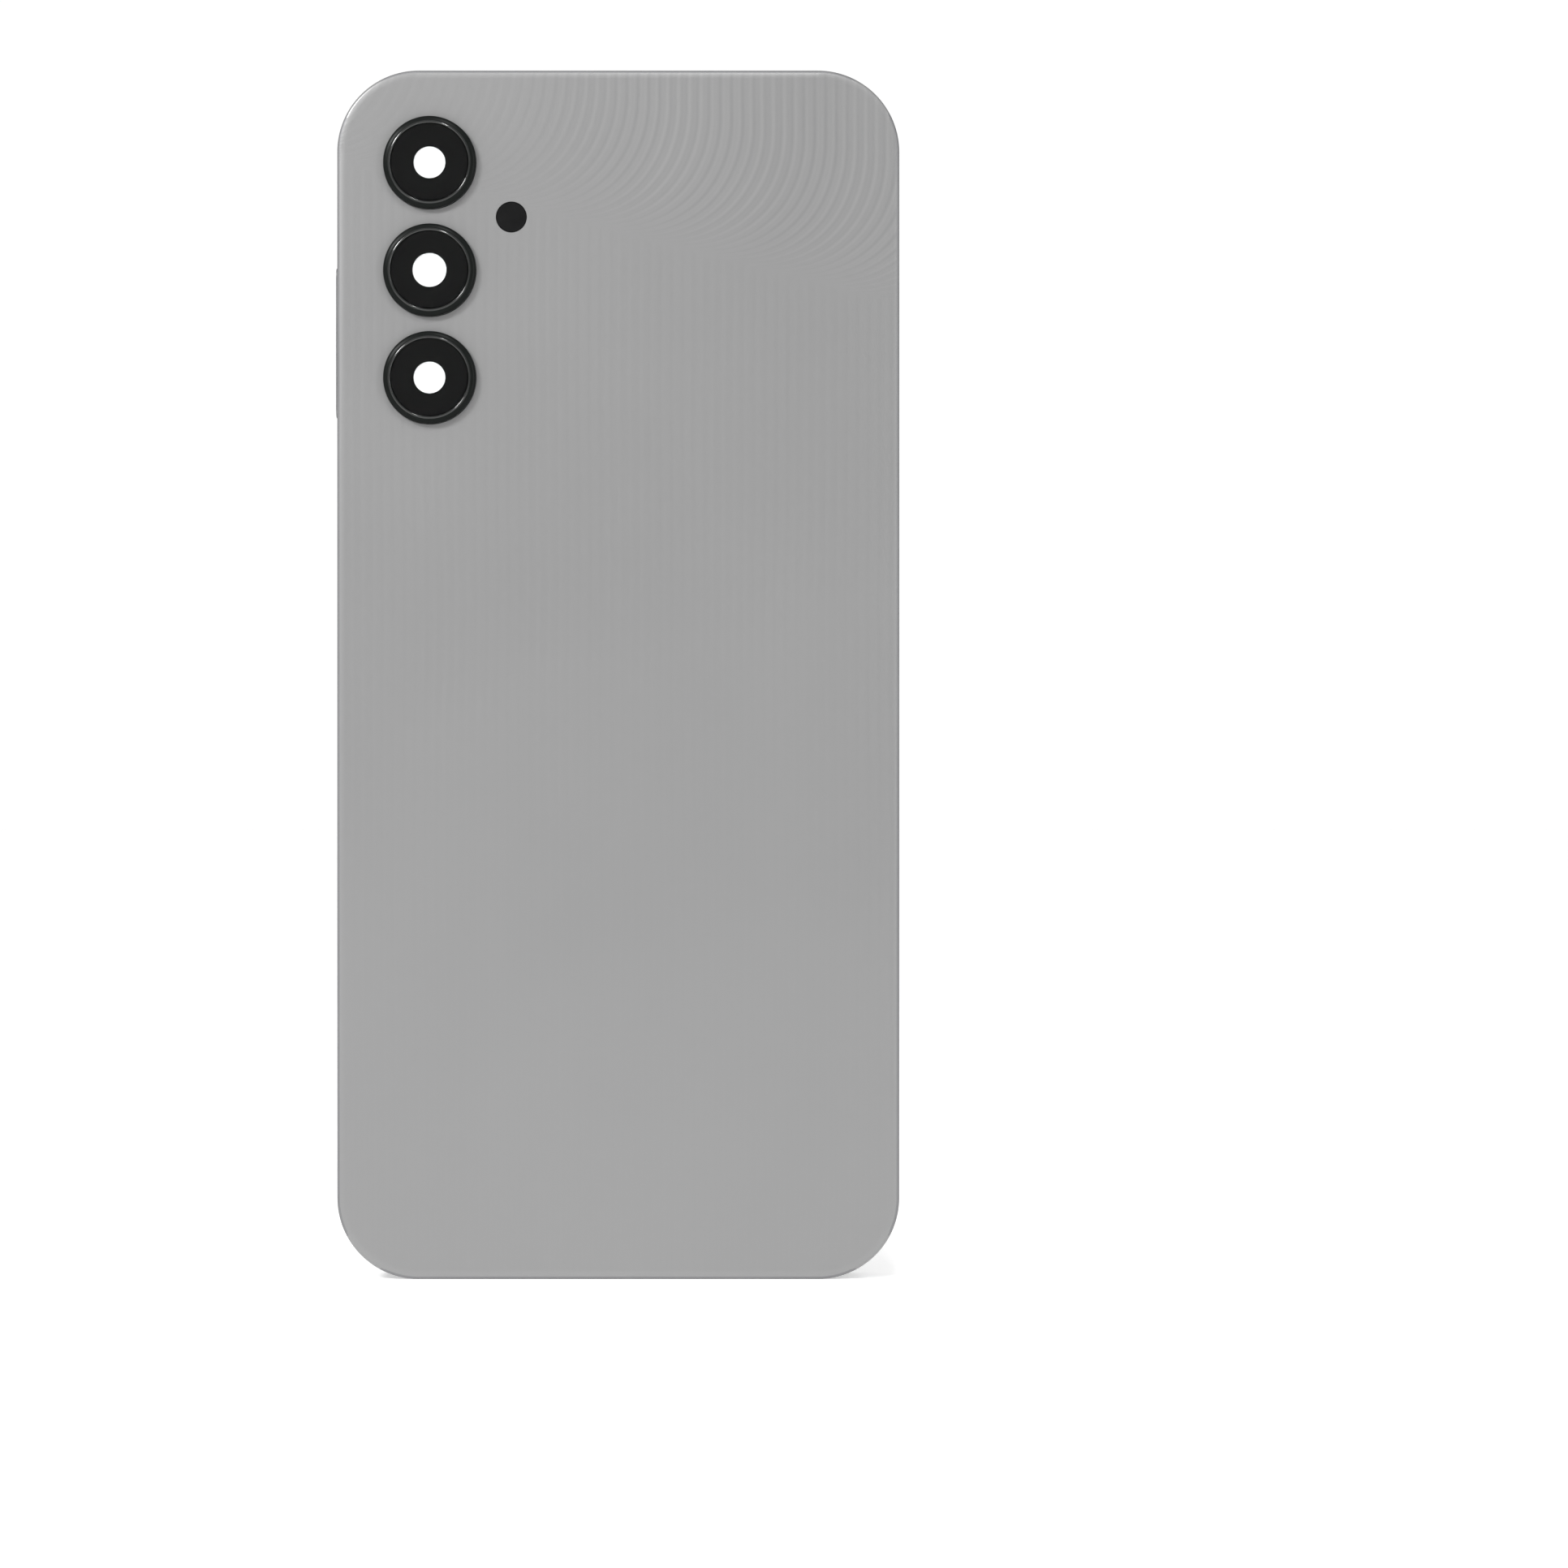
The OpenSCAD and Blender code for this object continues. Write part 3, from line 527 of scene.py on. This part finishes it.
for name, z in camera_places.items():
    disc = [
        (0, glass_face), (glass_radius - 0.08, glass_face), (glass_radius, glass_face + 0.08),
        (glass_radius, seal_face), (0, seal_face),
    ]
    fit(
        turned(disc, camera_x, z), f"cover_glass_{name}", "housing", [f"camera_glass_{name}"],
        [clear_glass],
    )
    hole = windows[name] / 2
    washer = [(hole, seal_face), (glass_radius, seal_face), (glass_radius, ledge_face), (hole, ledge_face)]
    fit(
        turned(washer, camera_x, z), f"adhesive_ring_{name}", "housing", [f"glass_seal_{name}"],
        [masked],
    )
    sheet = [(0, ledge_face), (film_radius, ledge_face), (film_radius, film_face), (0, film_face)]
    film = turned(sheet, camera_x, z)
    for face in film.polygons:
        # The inner face takes the grey painted-shade backing. The outer face takes the white film with its
        # painted glow
        face.material_index = 1 if face.normal.y > 0.5 else 0
    fit(film, f"dust_film_{name}", "housing", [f"lens_film_{name}"], [film_white_painted_glow, film_back_painted_shade])


# ---- Camera bracket ----
# Black glass-filled nylon, moulded, with three seats that hold the camera modules from inside.
# It is stuck down by an adhesive sheet and located by small snap tabs.

def from_cad(node):
    """A copy of a CAD piece with its facets merged into whole faces, in metres."""
    bm = bmesh.new()
    bm.from_mesh(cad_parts[node].data)
    bmesh.ops.remove_doubles(bm, verts=bm.verts, dist=1e-7)
    bmesh.ops.dissolve_limit(bm, angle_limit=math.radians(0.5), verts=bm.verts, edges=bm.edges)
    mesh = bpy.data.meshes.new(node)
    bm.to_mesh(mesh)
    bm.free()
    return mesh


nylon = Finish("black moulded nylon", Specular_IOR_Level=0.35)
spark = nylon.mottle(nylon.place(), 1700, 3)
nylon_flow = nylon.mottle(nylon.place((1, 1, 0.4)), 90, 3)
nylon.bump(spark, 0.00004, 0.45)
moulded_black = nylon.set(
    Base_Color=nylon.between(nylon_flow, (0.011, 0.011, 0.0115), (0.019, 0.019, 0.0195)),
    Roughness=0.5 + (spark - 0.5) * 0.25,
)
fit(
    from_cad("camera_bracket"), "bracket_moulding", "housing", ["camera_bracket"],
    [moulded_black], soften=0.07,
)


# ---- Tapes ----
# Die-cut adhesive sheets: a light one under the bracket, a black foam square with a pull tab round
# the flash lens and a dark grey strip beside the clip pockets.

def sheet_finish(name, low, high, rough, grain, depth):
    """A die-cut sheet: a slightly uneven colour and a fine fibre or foam grain."""
    made = Finish(name)
    fibre = made.mottle(made.place(), grain, 3, 0.6)
    patches = made.mottle(made.place(), 120, 2)
    made.bump(fibre, depth, 0.6)
    return made.set(
        Base_Color=made.between(patches * 0.7 + fibre * 0.3, low, high), Roughness=rough + (fibre - 0.5) * 0.2
    )


light_sheet = sheet_finish("light adhesive sheet", (0.33, 0.33, 0.33), (0.42, 0.42, 0.42), 0.6, 900, 0.00002)
black_foam = sheet_finish("black foam tape", (0.012, 0.012, 0.012), (0.022, 0.022, 0.022), 0.8, 1600, 0.00005)
grey_cloth = sheet_finish("grey tape", (0.068, 0.068, 0.07), (0.095, 0.095, 0.097), 0.7, 1200, 0.00003)
fit(
    from_cad("bracket_tape"), "adhesive_sheet_bracket", "housing", ["bracket_tape"],
    [light_sheet],
)
fit(
    from_cad("flash_tape"), "foam_square_flash", "housing", ["flash_tape"],
    [black_foam], soften=0.03,
)
fit(from_cad("side_tape"), "tape_strip_side", "housing", ["side_tape"], [grey_cloth])


# ---- Flash ----
# A disc of smoked clear plastic sits flush in the back face, with a frosted pressed lens behind
# it whose inner face carries ring steps that spread the light.

smoke = Finish("smoked plastic", Specular_IOR_Level=0.3)
haze = smoke.mottle(smoke.place(), 500, 2)
smoked = smoke.set(
    Base_Color=smoke.between(haze, (0.003, 0.003, 0.0033), (0.006, 0.006, 0.006)), Roughness=0.22 + haze * 0.06
)
disc_radius, disc_face, disc_back = 2.125, back + 0.05, back + 0.55
window = [
    (0, disc_face), (disc_radius - 0.1, disc_face), (disc_radius, back + 0.15),
    (disc_radius, disc_back), (0, disc_back),
]
fit(turned(window, flash_x, flash_z, 96), "flash_disc", "housing", ["flash_window"], [smoked])
frost = Finish("frosted lens", Transmission_Weight=0.25, IOR=1.49)
frost_grain = frost.mottle(frost.place(), 1300, 2)
frosted = frost.set(
    Base_Color=frost.between(frost_grain, (0.55, 0.55, 0.53), (0.66, 0.66, 0.64)),
    Roughness=0.3 + frost_grain * 0.15,
)
lens_radius, lens_back = 2.245, floor + 0.3
lens_profile = [(0, disc_back), (lens_radius, disc_back), (lens_radius, lens_back)]
for k in range(7, 0, -1):
    lens_profile += [(0.28 * k + 0.02, lens_back), (0.28 * k, lens_back - 0.09)]
lens_profile += [(0, lens_back)]
fit(
    turned(lens_profile, flash_x, flash_z, 96), "flash_lens_pressed", "housing", ["flash_lens"],
    [frosted],
)


# ---- Volume key, carriage and pins ----
# A silver rocker key in a slot of the side wall, with a black strip behind it whose nubs press the
# switches. It rocks on the middle nub, and two steel pins in the shell keep the strip in.

key_z, key_length, strip_x = 130.2, 20.9, -37.038
bm = bmesh.new()
key = block(
    bm, (-39.45, key_y - key_half, key_z - key_length / 2), (strip_x, key_y + key_half, key_z + key_length / 2)
)
bevel(bm, edges_along(bm, key, 0), key_half - 0.001, 12)
bevel(bm, list(facing(bm, (-1, 0, 0)).edges), 0.22, 5)
bmesh.ops.recalc_face_normals(bm, faces=bm.faces)
key_coat = Finish("silver key lacquer", Metallic=0.35, Coat_Weight=0.15, Coat_Roughness=0.3)
key_clouds = key_coat.mottle(key_coat.place(), 300, 2)
key_silver = key_coat.set(
    Base_Color=key_coat.between(key_clouds, (0.23, 0.23, 0.235), (0.27, 0.27, 0.275)),
    Roughness=0.36 + key_clouds * 0.06,
)
fit(
    as_mesh(bm, "key"), "volume_rocker_key", "volume_rocker", ["volume_key"],
    [key_silver], crisp=40,
)
strip = Finish("black key strip", Specular_IOR_Level=0.35)
strip_grain = strip.mottle(strip.place(), 1500, 3)
strip.bump(strip_grain, 0.00003, 0.4)
strip_black = strip.set(
    Base_Color=strip.between(strip_grain, (0.006, 0.006, 0.006), (0.012, 0.012, 0.012)),
    Roughness=0.5 + strip_grain * 0.15,
)
fit(
    from_cad("key_carriage"), "key_strip", "volume_rocker", ["key_carriage"],
    [strip_black], soften=0.06,
)
steel = Finish("bright steel", Metallic=1.0)
drawn = steel.mottle(steel.place((1, 0.1, 1)), 3000, 2)
bright_steel = steel.set(
    Base_Color=steel.between(drawn, (0.62, 0.62, 0.62), (0.74, 0.74, 0.74)), Roughness=0.2 + drawn * 0.12
)
pin_profile = (
    [(0, floor), (0.3, floor), (0.3, 1.6), (0.45, 1.6), (0.45, 1.75)]
    + arc(0.35, 1.75, 0.1, 0, 90, 4)
    + [(0, 1.85)]
)
both = bmesh.new()
for z in pin_places:
    both.from_mesh(turned(pin_profile, pin_x, z, 32))
pin_mesh = bpy.data.meshes.new("pins")
both.to_mesh(pin_mesh)
both.free()
fit(pin_mesh, "retaining_pins", "housing", ["key_pins"], [bright_steel])


# ---- Dust meshes ----
# Fine black woven mesh, stuck inside the bottom wall behind the loudspeaker holes and the
# microphone hole.

weave = Finish("fine black mesh", Specular_IOR_Level=0.3)
threads = 42000
across_mesh, through_mesh, _ = weave.along(weave.place((threads, threads, threads)))
warp = across_mesh.maths("SINE", across_mesh)
weft = through_mesh.maths("SINE", through_mesh)
weave.bump(warp * weft, 0.00004, 0.8)
woven = weave.set(
    Base_Color=weave.between((warp * weft + 1.0) * 0.5, (0.008, 0.008, 0.008), (0.035, 0.035, 0.035)),
    Roughness=0.6,
)
fit(from_cad("speaker_mesh"), "loudspeaker_mesh", "housing", ["speaker_mesh"], [woven])
fit(from_cad("microphone_mesh"), "mic_mesh", "housing", ["microphone_mesh"], [woven])


# ---- Studio ----
# A plain pale floor and a surround that the camera sees as even white. What the part reflects and
# is lit by is darker behind the camera and behind the part, with three soft boxes for highlights.

bm = bmesh.new()
bmesh.ops.create_circle(bm, cap_ends=True, segments=96, radius=6)
floor_mesh = bpy.data.meshes.new("studio_floor")
bm.to_mesh(floor_mesh)
bm.free()
studio_floor = bpy.data.objects.new("studio_floor", floor_mesh)
bpy.context.scene.collection.objects.link(studio_floor)
pale = Finish("pale floor", Roughness=0.9, Base_Color=(0.8, 0.8, 0.8, 1))
pale.shader.inputs["Emission Color"].default_value = (1, 1, 1, 1)
pale.shader.inputs["Emission Strength"].default_value = 0.44
floor_mesh.materials.append(pale.material)

world = bpy.data.worlds.new("studio")
world.use_nodes = True
bpy.context.scene.world = world
sky = world.node_tree
surround = sky.nodes["Background"]
direction = sky.nodes.new("ShaderNodeSeparateXYZ")
where = sky.nodes.new("ShaderNodeTexCoord")
sky.links.new(where.outputs["Generated"], direction.inputs[0])
ahead = sky.nodes.new("ShaderNodeMapRange")
ahead.inputs["From Min"].default_value, ahead.inputs["From Max"].default_value = -1.0, 1.0
sky.links.new(direction.outputs["Y"], ahead.inputs["Value"])
levels = sky.nodes.new("ShaderNodeValToRGB")
stops = [
    (0.0, 0.12), (0.014, 0.12), (0.042, 1.0), (0.5, 1.0), (0.60, 0.85), (0.70, 0.18), (0.90, 0.18), (0.97, 0.7),
]
for at, _ in stops[2:]:
    levels.color_ramp.elements.new(at)
for element, (at, level) in zip(levels.color_ramp.elements, stops):
    element.position, element.color = at, (level, level, level, 1)
sky.links.new(ahead.outputs["Result"], levels.inputs["Fac"])
seen = sky.nodes.new("ShaderNodeLightPath")
mixed = sky.nodes.new("ShaderNodeMix")
mixed.data_type = "RGBA"
mixed.inputs[7].default_value = (1, 1, 1, 1)
sky.links.new(seen.outputs["Is Camera Ray"], mixed.inputs[0])
sky.links.new(levels.outputs["Color"], mixed.inputs[6])
sky.links.new(mixed.outputs[2], surround.inputs["Color"])
dimmed = sky.nodes.new("ShaderNodeMapRange")
dimmed.inputs["To Min"].default_value, dimmed.inputs["To Max"].default_value = 1.02, 0.6
sky.links.new(seen.outputs["Is Glossy Ray"], dimmed.inputs["Value"])
sky.links.new(dimmed.outputs["Result"], surround.inputs["Strength"])


def soft_box(name, place, aim, width, height, power):
    """A soft box: a flat lamp that looks at a point."""
    lamp = bpy.data.lights.new(name, "AREA")
    lamp.shape, lamp.size, lamp.size_y, lamp.energy = "RECTANGLE", width, height, power
    made = bpy.data.objects.new(name, lamp)
    made.location = place
    made.rotation_euler = (Vector(aim) - Vector(place)).to_track_quat("-Z", "Y").to_euler()
    bpy.context.scene.collection.objects.link(made)


cameras_middle = (-0.026, -0.005, 0.14)
soft_box("upper left box", (-0.34, -0.36, 0.40), cameras_middle, 0.16, 0.08, 2.4)
soft_box("top box", (0.05, -0.36, 0.50), cameras_middle, 0.045, 0.04, 0.6)
soft_box("far side strip", (0.50, -0.42, 0.22), cameras_middle, 0.04, 0.42, 0.9)

# The camera looks straight at the back face, from far enough away that no side wall shows
view_middle = Vector((0.0230, 0.0, 0.0687))
camera = bpy.data.cameras.new("camera")
camera.lens, camera.sensor_width = 100, 36
camera_object = bpy.data.objects.new("camera", camera)
camera_object.location = view_middle + Vector((0, -0.608, 0))
camera_object.rotation_euler = (math.radians(90), 0, 0)
bpy.context.scene.collection.objects.link(camera_object)
bpy.context.scene.camera = camera_object
bpy.context.scene.view_settings.view_transform = "Standard"
